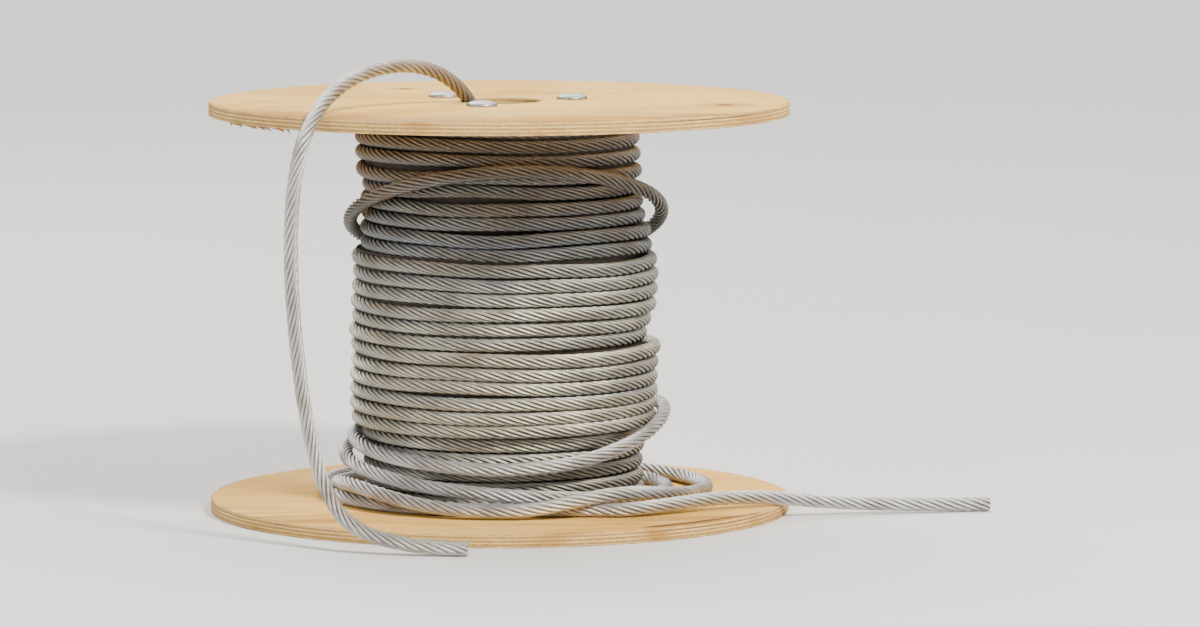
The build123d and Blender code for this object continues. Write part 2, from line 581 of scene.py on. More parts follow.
@dataclass(frozen=True)
class ZincFinish:
    """Dulled zinc plate on the bolts and nuts, with white bloom, specks of rust and threads."""

    name: str
    thread_top: float
    thread_pitch: float = 1.5 * MM

    def material(self) -> bpy.types.Material:
        """Make the fasteners' material.

        Returns:
            The material.
        """
        board = Board(self.name)
        place = board.place()
        z = board.parts(place)[2]
        clouds = board.noise(place, 130.0, 4.0, 0.5)
        fine = board.noise(place, 900.0, 3.0)
        colour = board.mix(clouds.ramp(0.3, 0.7), (0.34, 0.33, 0.31), (0.52, 0.51, 0.48))
        bloom = board.noise(board.moved(place, (1.0, 1.0, 1.0), (4.0, 1.0, 0.0)), 260.0, 4.0).ramp(0.56, 0.7)
        colour = board.mix(bloom * 0.4, colour, (0.66, 0.65, 0.62))
        rust = board.noise(board.moved(place, (1.0, 1.0, 1.0), (1.0, 7.0, 0.0)), 330.0, 5.0, 0.6)
        rust = rust.ramp(0.60, 0.68)
        colour = board.mix(rust * 0.8, colour, (0.24, 0.10, 0.04))
        threads = (z * (2 * math.pi / self.thread_pitch)).sine()
        threads = threads * z.ramp(self.thread_top, self.thread_top - 1.0 * MM)
        board.bump(fine * 0.25 + clouds * 0.3 + threads * 0.6, 0.5, 0.0004)
        rough = 0.42 + bloom * 0.2 + rust * 0.35 + (fine - 0.5) * 0.1
        return board.finish(colour, rough, (bloom * 0.5).larger(rust) * -0.85 + 0.9)


class Film(Enum):
    """How weathered a stretch of rope is: its light tone, its dark tone and its share of brown film; the
    wound rope's tones are raised as painted sunlight.
    """

    # Light and dark tones raised as painted sunlight on the winding
    WOUND_PAINTED_SUNLIT = ((0.92, 0.90, 0.81), (0.54, 0.52, 0.45), 0.26)
    SLACK = ((0.80, 0.80, 0.79), (0.50, 0.48, 0.46), 0.12)
    HANGING = ((0.80, 0.77, 0.72), (0.50, 0.46, 0.41), 0.16)


@dataclass(frozen=True)
class RopeFinish:
    """Galvanised wire rope: fine wires along the rope on each strand, brown film in patches, grease plus
    painted shade in the valleys.
    """

    name: str
    film: Film
    wires_round: float = 46.0
    turn_tone: float = 0.0
    # Strength of the painted shade on the rope's downward-facing sides
    underside: float = 0.0
    # Colour stops by height on the wound rope: painted sunlight low down, painted shadow of the top flange
    # high up
    painted_sun_and_flange_shadow: tuple[tuple[float, Colour], ...] = ()
    low: float = 0.0
    high: float = 1.0
    brown_near: tuple[Point, float] | None = None

    def material(self) -> bpy.types.Material:
        """Make the rope's material.

        Returns:
            The material.
        """
        board = Board(self.name)
        place = board.place()
        z = board.parts(place)[2]
        light, dark, film_share = self.film.value
        section = board.parts(board.attribute("rope_section").outputs["Vector"])
        valley = section[2]
        run = Signal(board, board.attribute("rope_run").outputs["Fac"])
        turn = section[1].angle_from(section[0])
        wires = (turn * self.wires_round + run * 90.0).sine() * 0.5 + 0.5
        patches = board.noise(place, 38.0, 4.0, 0.4)
        blotches = board.noise(board.moved(place, (1.0, 1.0, 2.4), (5.0, 2.0, 1.0)), 14.0, 4.0)
        grains = board.noise(place, 620.0, 3.0)
        colour = board.mix(patches.ramp(0.25, 0.75), dark, light)
        # Painted light by height: the lower turns are painted sunlit cream, the upper turns darkened through
        # blue-grey to brown as the painted shadow of the top flange
        if self.painted_sun_and_flange_shadow:
            level = (z - self.low) / (self.high - self.low)
            ramp = board.node("ShaderNodeValToRGB", {"stops": self.painted_sun_and_flange_shadow}, {0: level})
            colour = board.mix(0.9, colour, ramp.outputs[0], "MULTIPLY")
        tone = board.noise(board.moved(place, (1.5, 1.5, 85.0)), 1.0, 1.0)
        colour = board.mix(tone.ramp(0.44, 0.66) * self.turn_tone, colour, (0.34, 0.37, 0.42))
        film = blotches.ramp(0.62 - film_share * 0.5, 0.80) * 0.7
        if self.brown_near:
            centre, reach = self.brown_near
            away = board.node("ShaderNodeVectorMath", {"operation": "DISTANCE"}, {0: place, 1: centre})
            film = film.larger(Signal(board, away.outputs["Value"]).ramp(reach, 0.3 * reach) * 0.75)
        colour = board.mix(film, colour, (0.26, 0.19, 0.13))
        # Darker, duller steel in the valleys between strands: grease there plus painted shade; eased on the
        # wound rope, where the painted underside shade already darkens
        valley_grease_and_shade = valley.ramp(0.35, 0.95)
        # Painted shade: the downward-facing sides of the rope are darkened
        under = board.facing()[2].ramp(0.0, -0.62) * self.underside
        colour = board.mix(valley_grease_and_shade * (0.74 - 0.4 * self.underside), colour, (0.075, 0.062, 0.050))
        colour = board.mix(under, colour, (0.050, 0.042, 0.036))
        # Painted shade in the grooves between the wires
        colour = board.mix((1.0 - wires) * 0.30, colour, (0.10, 0.09, 0.08))
        colour = board.mix(grains.ramp(0.62, 0.72) * 0.4, colour, (0.80, 0.80, 0.78))
        board.bump(wires * 0.8 + grains * 0.2, 0.6, 0.0003)
        rough = 0.40 + valley_grease_and_shade * 0.3 + film * 0.25 + (grains - 0.5) * 0.15
        return board.finish(colour, rough, 0.85 - (film.larger(valley_grease_and_shade) * 0.6))


@dataclass(frozen=True)
class CoreShadeFinish:
    """Steel of the under layers that only show through gaps, painted near black as the shade there."""

    def material(self) -> bpy.types.Material:
        """Make the under layers' material.

        Returns:
            The material.
        """
        board = Board("rope_under_layers_painted_shade", Specular_IOR_Level=0.2)
        soot = board.noise(board.place(), 70.0, 4.0)
        # Painted shade: near-black, mottled steel where the under layers show through gaps
        colour = board.mix(soot, (0.030, 0.024, 0.019), (0.085, 0.070, 0.056))
        return board.finish(colour, 0.85)


# Shaping helpers

def linked(name: str, data: bpy.types.ID) -> bpy.types.Object:
    """Make an object of a mesh, a light or a camera and link it to the scene."""
    made = bpy.data.objects.new(name, data)
    bpy.context.collection.objects.link(made)
    return made


def riding(
    name: str, mesh: bpy.types.Mesh, material: bpy.types.Material, sharp: float
) -> bpy.types.Object:
    """Shade a finished mesh and let it ride on the drum.

    Args:
        name: The piece's name.
        mesh: Its mesh.
        material: Its material.
        sharp: Edges sharper than this many degrees stay sharp.

    Returns:
        The piece.
    """
    mesh.shade_smooth()
    mesh.set_sharp_from_angle(angle=math.radians(sharp))
    mesh.materials.append(material)
    piece = linked(name, mesh)
    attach(piece, "root")
    log.info("%s made", name)
    return piece


def piece_from(
    name: str, shape: bmesh.types.BMesh, material: bpy.types.Material
) -> bpy.types.Object:
    """Turn a bmesh, which is freed, into a piece that rides on the drum.

    Args:
        name: The piece's name.
        shape: Its shape.
        material: Its material.

    Returns:
        The piece.
    """
    mesh = bpy.data.meshes.new(name)
    shape.to_mesh(mesh)
    shape.free()
    return riding(name, mesh, material, 35.0)


def polar(radius: float, degrees: float, height: float = 0.0) -> Point:
    """Point at a radius and an angle about the drum's axis."""
    turn = math.radians(degrees)
    return (radius * math.cos(turn), radius * math.sin(turn), height)


def turned(
    name: str, profile: Sequence[Point], centre: Pair, material: bpy.types.Material
) -> bpy.types.Object:
    """Spin a profile about an upright axis.

    Args:
        name: The piece's name.
        profile: Its half outline at y 0, with radii as x and heights as z.
        centre: Where the upright axis stands.
        material: The piece's material.

    Returns:
        The turned piece.
    """
    shape = bmesh.new()
    corners = [shape.verts.new(point) for point in profile]
    edges = [shape.edges.new(pair) for pair in zip(corners, corners[1:])]
    bmesh.ops.spin(
        shape, geom=corners + edges, cent=(0, 0, 0), axis=(0, 0, 1),
        angle=2 * math.pi, steps=48, use_merge=True,
    )
    bmesh.ops.remove_doubles(shape, verts=shape.verts, dist=MERGE)
    bmesh.ops.recalc_face_normals(shape, faces=shape.faces)
    bmesh.ops.translate(shape, verts=shape.verts, vec=(*centre, 0.0))
    return piece_from(name, shape, material)


def smooth_line(name: str, points: Sequence[Point]) -> np.ndarray:
    """Read the smooth line that a rope follows from a NURBS spline.

    Args:
        name: The spline's name.
        points: Its control points.

    Returns:
        Points along the spline, in order.
    """
    curve = bpy.data.curves.new(name, "CURVE")
    curve.dimensions = "3D"
    curve.resolution_u = 24
    spline = curve.splines.new("NURBS")
    spline.points.add(len(points) - 1)
    for control, point in zip(spline.points, points):
        control.co = (*point, 1.0)
    spline.order_u = 3
    spline.use_endpoint_u = True
    guide = bpy.data.objects.new(name, curve)
    read = bpy.data.meshes.new_from_object(guide)
    line = np.array([vertex.co[:] for vertex in read.vertices])
    bpy.data.meshes.remove(read)
    bpy.data.objects.remove(guide)
    bpy.data.curves.remove(curve)
    return line


def evenly(line: np.ndarray, step: float) -> np.ndarray:
    """Space the points of a line evenly.

    Args:
        line: The line's points.
        step: About how far apart they are to stand, in metres.

    Returns:
        The new points.
    """
    runs = np.linalg.norm(np.diff(line, axis=0), axis=1)
    line = line[np.concatenate(([True], runs > 1e-7))]
    way = np.concatenate(([0.0], np.cumsum(np.linalg.norm(np.diff(line, axis=0), axis=1))))
    places = np.linspace(0.0, way[-1], max(2, round(way[-1] / step)) + 1)
    return np.stack([np.interp(places, way, line[:, axis]) for axis in range(3)], axis=1)


def in_metres(points: Sequence[Point]) -> list[Point]:
    """Turn points in millimetres into metres."""
    return [tuple(part * MM for part in point) for point in points]


def length_of(line: np.ndarray) -> float:
    """Length of a line of points."""
    return float(np.linalg.norm(np.diff(line, axis=0), axis=1).sum())


# Wire rope

@dataclass
class WireRope:
    """Eight-strand right-hand-lay wire rope, laid along any line."""

    diameter: float = 11.0 * MM
    strands: int = 8
    lay_diameters: float = 6.5
    facets: int = 6
    step: float = 4.8 * MM

    @property
    def radius(self) -> float:
        """Radius over the strands' crowns."""
        return self.diameter / 2

    def section_radius(self, angle: float) -> float:
        """Radius of the lobed section at an angle about the rope's centre.

        Args:
            angle: In radians, 0 at a strand's crown.

        Returns:
            The radius, in metres.
        """
        half = math.pi / self.strands
        strand = self.radius * math.sin(half) / (1 + math.sin(half))
        circle = self.radius - strand
        off = (angle + half) % (2 * half) - half
        return circle * math.cos(off) + math.sqrt(max(strand**2 - (circle * math.sin(off)) ** 2, 0.0))

    def _straight(self, length: float, rings: int) -> bmesh.types.BMesh:
        """Roll a flat sheet into a straight rope up the Z axis.

        Args:
            length: Its length.
            rings: Sections after the first one.

        Returns:
            The rope with its cut ends closed.
        """
        count = self.strands * self.facets
        crowns = [self.section_radius(2 * math.pi * place / count) for place in range(count + 1)]
        twist = 2 * math.pi * length / (self.lay_diameters * self.diameter)
        shape = bmesh.new()
        bmesh.ops.create_grid(shape, x_segments=count, y_segments=rings, size=0.5)
        seam = [corner for corner in shape.verts if abs(corner.co.x) > 0.4999]
        for corner in shape.verts:
            place = round((corner.co.x + 0.5) * count)
            share = corner.co.y + 0.5
            angle = 2 * math.pi * place / count + twist * share
            corner.co = (crowns[place] * math.cos(angle), crowns[place] * math.sin(angle), share * length)
        bmesh.ops.remove_doubles(shape, verts=seam, dist=MERGE)
        ends = [edge for edge in shape.edges if edge.is_boundary]
        caps = bmesh.ops.holes_fill(shape, edges=ends, sides=0)["faces"]
        bmesh.ops.poke(shape, faces=caps)
        bmesh.ops.recalc_face_normals(shape, faces=shape.faces)
        return shape

    @staticmethod
    def _frames(line: np.ndarray) -> tuple[np.ndarray, np.ndarray]:
        """Carry a pair of side directions along a line without twisting it.

        Args:
            line: Evenly spaced points.

        Returns:
            The first and the second side direction at each point.
        """
        along = np.gradient(line, axis=0)
        along /= np.linalg.norm(along, axis=1)[:, None]
        side = np.cross(along[0], (0.0, 0.0, 1.0))
        if np.linalg.norm(side) < 0.1:
            side = np.cross(along[0], (1.0, 0.0, 0.0))
        first = np.empty_like(line)
        for index, way in enumerate(along):
            side = side - way * side.dot(way)
            side /= np.linalg.norm(side)
            first[index] = side
        return first, np.cross(along, first)

    def laid(self, name: str, line: np.ndarray, material: bpy.types.Material) -> bpy.types.Object:
        """Lay the rope along a line.

        Args:
            name: The piece's name.
            line: Points that its centre follows.
            material: Its material, which reads the attributes rope_section and rope_run.

        Returns:
            The rope.
        """
        line = evenly(line, self.step)
        rings = len(line) - 1
        length = length_of(line)
        shape = self._straight(length, rings)
        mesh = bpy.data.meshes.new(name)
        shape.to_mesh(mesh)
        shape.free()
        straight = np.empty(len(mesh.vertices) * 3, dtype=np.float32)
        mesh.vertices.foreach_get("co", straight)
        straight = straight.reshape(-1, 3).astype(float)
        ring = np.clip(np.rint(straight[:, 2] / (length / rings)).astype(int), 0, rings)
        first, second = self._frames(line)
        bent = line[ring] + first[ring] * straight[:, :1] + second[ring] * straight[:, 1:2]
        mesh.vertices.foreach_set("co", bent.astype(np.float32).ravel())
        out = np.maximum(np.hypot(straight[:, 0], straight[:, 1]), 1e-6)
        deepest = self.section_radius(math.pi / self.strands)
        valley = np.clip((self.radius - out) / (self.radius - deepest), 0.0, 1.0)
        section = np.column_stack((straight[:, :2] / out[:, None], valley))
        sections = mesh.attributes.new("rope_section", "FLOAT_VECTOR", "POINT")
        sections.data.foreach_set("vector", section.astype(np.float32).ravel())
        runs = mesh.attributes.new("rope_run", "FLOAT", "POINT")
        runs.data.foreach_set("value", straight[:, 2].astype(np.float32))
        piece = riding(name, mesh, material, 75.0)
        mesh.update()
        return piece


# Sub-assemblies

def dress_node(node: str, material: bpy.types.Material, bevel_width: float = 0.0) -> None:
    """Give one of the frame's nodes its finish and soften its edges.

    Args:
        node: The node's name.
        material: Its material.
        bevel_width: Width of the softened edges, or 0 for none.
    """
    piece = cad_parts[node]
    piece.data.materials.clear()
    piece.data.materials.append(material)
    if bevel_width:
        piece.modifiers.new("weld", "WELD").merge_threshold = MERGE
        bevel = piece.modifiers.new("soft_edge", "BEVEL")
        bevel.width = bevel_width
        bevel.segments = 2
        bevel.limit_method = "ANGLE"
        bevel.angle_limit = math.radians(40)
    log.info("%s dressed", node)


@dataclass
class Flange:
    """One plywood flange: the frame's own node with softened arrises."""

    node: str
    seed: float
    bore: float = 32.0 * MM
    knots: tuple[Knot, ...] = ()
    crack: Crack | None = None

    arris: float = 0.7 * MM

    def dress(self) -> bpy.types.Material:
        """Give the node its plywood finish and soften its arrises.

        Returns:
            The finish.
        """
        low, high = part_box(self.node)
        plywood = PlywoodFinish(
            f"{self.node}_plywood", low[2], high[2], high[0], self.bore, self.seed, self.knots, self.crack
        ).material()
        dress_node(self.node, plywood, self.arris)
        return plywood


@dataclass
class Splinters:
    """Torn veneer along the front left of the top flange's lower arris."""

    first: float = 204.0
    last: float = 226.0
    count: int = 15
    reaches: Pair = (5.0 * MM, 17.0 * MM)
    widths: Pair = (1.2 * MM, 3.0 * MM)
    drops: Pair = (0.8 * MM, 3.2 * MM)
    sideways: float = 1.0 * MM
    thickness: float = 0.7 * MM
    tuck: float = 1.2 * MM
    sink: float = 0.3 * MM
    headings: Pair = (-24.0, 4.0)
    seed: int = 17

    def build(self, material: bpy.types.Material) -> None:
        """Make the slivers as one piece, each one narrower and lower at its free tip.

        Args:
            material: The plywood of the flange that they hang from.
        """
        chance = np.random.default_rng(self.seed)
        low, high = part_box("flange_top")
        shape = bmesh.new()
        for number in range(self.count):
            angle = self.first + (self.last - self.first) * (number + chance.uniform(-0.3, 0.3)) / self.count
            reach = chance.uniform(*self.reaches)
            width = chance.uniform(*self.widths)
            drop = chance.uniform(*self.drops)
            made = bmesh.ops.create_cube(shape, size=1.0)["verts"]
            bmesh.ops.scale(shape, verts=made, vec=(reach, width, self.thickness))
            bmesh.ops.translate(shape, verts=made, vec=(reach / 2, 0, 0))
            tips = [corner for corner in made if corner.co.x > reach / 2]
            bmesh.ops.scale(shape, verts=tips, vec=(1, 0.45, 0.3))
            swing = chance.uniform(-1, 1) * self.sideways
            bmesh.ops.translate(shape, verts=tips, vec=(0, swing, -drop))
            heading = math.radians(angle + 90 + chance.uniform(*self.headings))
            turn = Matrix.Rotation(heading, 3, "Z")
            bmesh.ops.rotate(shape, verts=made, cent=(0, 0, 0), matrix=turn)
            root = polar(high[0] - self.tuck, angle, low[2] + self.sink)
            bmesh.ops.translate(shape, verts=made, vec=root)
        piece_from("flange_top_splinters", shape, material)


@dataclass
class TieBolts:
    """Three carriage bolts with domed heads, standing for the frame's plain ones."""

    head_radius: float = 12.0 * MM
    head_height: float = 4.6 * MM
    brim_height: float = 1.0 * MM
    brim_round: float = 0.3 * MM
    shank_radius: float = 5.0 * MM
    end_chamfer: float = 0.8 * MM
    dome_steps: int = 10
    top: float = 318.0 * MM
    end: float = 1.0 * MM
    finish: ZincFinish = ZincFinish("bolt_zinc", 30 * MM)

    def _profile(self) -> list[Point]:
        """Half outline of a bolt, from the dome's top down to the shank's end.

        Returns:
            Points with radii as x and heights as z.
        """
        points = [(0.0, 0.0, self.top + self.head_height)]
        for number in range(1, self.dome_steps + 1):
            part = number / self.dome_steps * math.pi / 2
            height = self.brim_height + (self.head_height - self.brim_height) * math.cos(part)
            points.append((self.head_radius * math.sin(part), 0.0, self.top + height))
        points.append((self.head_radius, 0.0, self.top + self.brim_height / 4))
        points.append((self.head_radius - self.brim_round, 0.0, self.top))
        points.append((self.shank_radius, 0.0, self.top))
        points.append((self.shank_radius, 0.0, self.end + self.end_chamfer))
        points.append((self.shank_radius - self.end_chamfer, 0.0, self.end))
        points.append((0.0, 0.0, self.end))
        return points

    def build(self) -> None:
        """Turn the three bolts where the frame has them."""
        material = self.finish.material()
        for number in (1, 2, 3):
            node = f"tie_bolt_{number}"
            low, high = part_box(node)
            centre = ((low[0] + high[0]) / 2, (low[1] + high[1]) / 2)
            bolt = turned(f"{node}_domed", self._profile(), centre, material)
            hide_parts(node)


@dataclass(frozen=True)
class Zone:
    """A band of the winding: its turns, and their radius and sideways shift, in millimetres.

    The radii and shifts are those of the band's lowest and highest turn, with even steps between.
    """

    turns: int
    radii: Pair
    shifts: Pair


@dataclass(frozen=True)
class Parting:
    """A place where two neighbouring turns stand apart."""

    below: int
    angle: float
    half_width: float
    opening: float
    fade_turns: float = 2.2

    def lift(self, turn: int, angle: float) -> float:
        """How far a turn is pushed up here.

        Args:
            turn: The turn, counted from the top.
            angle: The place round the drum, in degrees.

        Returns:
            The lift in metres, below 0 for the turns under the gap.
        """
        off = (angle - self.angle + 180.0) % 360.0 - 180.0
        if abs(off) >= self.half_width:
            return 0.0
        share = 0.5 + 0.5 * math.cos(math.pi * off / self.half_width)
        steps = self.below - turn if turn < self.below else turn - self.below + 1
        side = 1.0 if turn < self.below else -1.0
        return side * share * self.opening / 2 * math.exp(-(steps - 1) / self.fade_turns)


@dataclass
class Winding:
    """The rope wound on the barrel: turns that step down mostly at the back, over a core painted dark as
    shade.
    """

    rope: WireRope
    foot: float = 10.3 * MM
    width: float = 297.4 * MM
    foot_zone: Zone = Zone(5, (110.0, 110.0), (3.0, 3.0))
    upper_zones: tuple[Zone, ...] = (
        Zone(12, (119.5, 119.5), (3.0, 4.0)),
        Zone(5, (114.0, 108.5), (5.5, 1.5)),
        Zone(4, (110.5, 110.8), (-1.0, -2.0)),
    )
    partings: tuple[Parting, ...] = (
        Parting(3, 222.0, 62.0, 3.2 * MM),
        Parting(5, 254.0, 36.0, 3.6 * MM),
        Parting(7, 264.0, 34.0, 3.0 * MM),
        Parting(9, 318.0, 44.0, 3.0 * MM),
        Parting(12, 236.0, 40.0, 2.0 * MM),
        Parting(15, 300.0, 46.0, 2.2 * MM),
        Parting(18, 250.0, 38.0, 2.0 * MM),
        Parting(6, 60.0, 50.0, 2.6 * MM),
        Parting(11, 130.0, 60.0, 2.4 * MM),
        Parting(16, 90.0, 52.0, 2.4 * MM),
    )
    step_start: float = 40.0
    step_end: float = 118.0
    angle_step: float = 2.0
    last_turn: float = 340.0
    # The share of a step that is spread over its whole turn, and the turns from either end of the
    # upper zones until it's reached
    most_even: float = 0.5
    easing_turns: int = 7
    level_play: float = 0.3
    radius_play: Pair = (-1.1, 0.7)
    shift_play: float = 0.8
    sway: float = 0.35 * MM
    wave: float = 0.3 * MM
    # Turns above the foot zone that lie out of line: each one's number from 0 at the lowest, and
    # what is added to its radius and its shift
    odd_turns: tuple[tuple[int, float, float], ...] = (
        (5, 2.0 * MM, 1.2 * MM),
        (6, -4.0 * MM, -4.0 * MM),
        (7, -2.4 * MM, -2.4 * MM),
    )
    lengths: int = 3
    core_depth: float = 6.5 * MM
    core_bore: float = 75.6 * MM
    seed: int = 5

    @property
    def pitch(self) -> float:
        """Height that a turn takes."""
        return self.width / (self.foot_zone.turns + sum(zone.turns for zone in self.upper_zones))

    def _turn_table(self, zones: Sequence[Zone], lowest: int) -> list[Point]:
        """Height, centre-line radius and sideways shift of each turn, from the lowest up.

        Args:
            zones: The zones, from the lowest up.
            lowest: How many turns lie under them.

        Returns:
            One triple for each turn.
        """
        chance = np.random.default_rng(self.seed + lowest)
        table = []
        for zone in zones:
            for number in range(zone.turns):
                part = number / (zone.turns - 1)
                radius, shift = (low + (high - low) * part for low, high in (zone.radii, zone.shifts))
                level = self.foot + self.pitch * (lowest + len(table) + 0.5)
                level += chance.uniform(-self.level_play, self.level_play) * MM
                radius = (radius + chance.uniform(*self.radius_play)) * MM - self.rope.radius
                shift += chance.uniform(-self.shift_play, self.shift_play)
                table.append((level, radius, shift * MM))
        return table

    def _line(self, table: Sequence[Point], above: int) -> np.ndarray:
        """Centre line of turns that run down from the last of a table to its first.

        Args:
            table: Height, radius and shift of each turn, from the lowest up.
            above: How many turns of the winding lie over the table's last.

        Returns:
            Points along the rope.
        """
        points = []
        order = list(reversed(table))
        for index, here in enumerate(order):
            last = index + 1 == len(order)
            after = here if last else order[index + 1]
            from_end = min(index, len(order) - index - 1)
            evenness = 0.0 if above else min(self.most_even, from_end / self.easing_turns)
            for degrees in np.arange(0.0, self.last_turn if last else 360.0, self.angle_step):
                angle = self.step_end + degrees
                over = (angle - 360.0 - self.step_start) / (self.step_end - self.step_start)
                step = min(max(over, 0.0), 1.0)
                step = step * step * (3 - 2 * step)
                climb = step + (degrees / 360.0 - step) * evenness
                level = here[0] + (after[0] - here[0]) * climb
                radius, shift = (a + (b - a) * step for a, b in zip(here[1:], after[1:]))
                level += sum(gap.lift(index + above, angle % 360.0) for gap in self.partings)
                sway = self.sway * math.sin(math.radians(3 * angle + 47 * index))
                wave = self.wave * math.sin(math.radians(2 * angle + 80 * index))
                x, y, _ = polar(radius + sway, angle)
                points.append((x + shift, y, level + wave))
        return np.array(points)

    def _upper_table(self) -> list[Point]:
        """Turns above the foot zone, with the odd ones moved out of line."""
        table = self._turn_table(self.upper_zones, self.foot_zone.turns)
        for number, wider, sideways in self.odd_turns:
            level, radius, shift = table[number]
            table[number] = (level, radius + wider, shift + sideways)
        return table

    def build(self, material: bpy.types.Material, core: bpy.types.Material) -> None:
        """Lay all turns, cut into lengths that stay light, over the core.

        Args:
            material: The rope's finish.
            core: The finish of the layers underneath, painted dark as shade.
        """
        foot_table = self._turn_table((self.foot_zone,), 0)
        upper_table = self._upper_table()
        upper = self._line(upper_table, 0)
        lower = self._line(foot_table, len(upper_table))
        cuts = np.array_split(np.arange(len(upper)), self.lengths)
        pieces = []
        for number, part in enumerate(cuts, start=1):
            stretch = upper[part[0]: part[-1] + 2]
            pieces.append(self.rope.laid(f"rope_winding_{number}", stretch, material))
        pieces.append(self.rope.laid("rope_winding_foot", lower, material))
        pieces.append(self._core(core))
        for piece in pieces:
            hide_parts("rope_winding")

    def _core(self, material: bpy.types.Material) -> bpy.types.Object:
        """The layers under the outer turns, as one turned sleeve painted dark as shade.

        Args:
            material: Their finish.

        Returns:
            The sleeve.
        """
        level = self.foot + self.width
        profile = [(self.core_bore, 0.0, level)]
        for zone in reversed((self.foot_zone, *self.upper_zones)):
            radius = min(zone.radii) * MM - max(zone.shifts) * MM / 2 - self.core_depth
            profile.append((radius, 0.0, level))
            level -= zone.turns * self.pitch
            profile.append((radius, 0.0, level))
        profile.append((self.core_bore, 0.0, self.foot))
        profile.append(profile[0])
        return turned("rope_winding_core", profile, (0.0, 0.0), material)


@dataclass
class LooseTurn:
    """The turn that has slipped off the layer and hangs tilted round the upper part.

    Its two ends dive into the full layer at the back. Angles are in degrees.
    """

    rope: WireRope
    centre: Pair = (5.0 * MM, 4.0 * MM)
    radius: float = 121.0 * MM
    level: float = 228.0 * MM
    tilt: float = 44.0 * MM
    lean: float = 6.0 * MM
    drift: float = -9.0 * MM
    first: float = 78.0
    last: float = 466.0
    angle_step: float = 2.0
    dive_depth: float = 9.5 * MM
    dive_before: float = 100.0
    dive_after: float = 440.0
    dive_runs: Pair = (22.0, 26.0)

    def build(self, material: bpy.types.Material) -> None:
        """Lay the loose turn.

        Args:
            material: The rope's finish.
        """
        points = []
        for degrees in np.arange(self.first, self.last, self.angle_step):
            turn = math.radians(degrees)
            before = (self.dive_before - degrees) / self.dive_runs[0]
            after = (degrees - self.dive_after) / self.dive_runs[1]
            dive = min(max(0.0, before, after), 1.0)
            out = self.radius - self.dive_depth * dive * dive * (3 - 2 * dive)
            drift = (degrees - 270.0) / 360.0 * self.drift
            height = self.level - self.tilt * math.sin(turn) + self.lean * math.cos(turn) + drift
            x = self.centre[0] + out * math.cos(turn)
            y = self.centre[1] + out * math.sin(turn)
            points.append((x, y, height))
        piece = self.rope.laid("rope_loose_turn", np.array(points), material)
        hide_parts("rope_winding")


@dataclass
class InnerEnd:
    """The rope's inner end: up out of the bore, over both rims and down to its cut end.

    The route is in millimetres.
    """

    rope: WireRope
    route: tuple[Point, ...] = (
        (-66.0, 20.0, 222.0),
        (-21.0, 18.0, 258.0),
        (-16.0, -2.0, 317.0),
        (-57.0, -54.0, 352.5),
        (-114.0, -128.0, 347.5),
        (-150.0, -221.0, 309.0),
        (-158.0, -212.0, 199.0),
        (-138.0, -225.0, 48.0),
        (-96.0, -262.0, 5.8),
        (-24.0, -267.0, 5.8),
    )

    length: float = 0.77

    def build(self, material: bpy.types.Material) -> None:
        """Args:
            material: The rope's finish.
        """
        points = in_metres(self.route)
        line = smooth_line("inner_end_line", points)
        piece = self.rope.laid("rope_inner_end_stranded", line, material)
        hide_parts("rope_inner_end")
        log.info("inner end is %.3f m long", length_of(line))


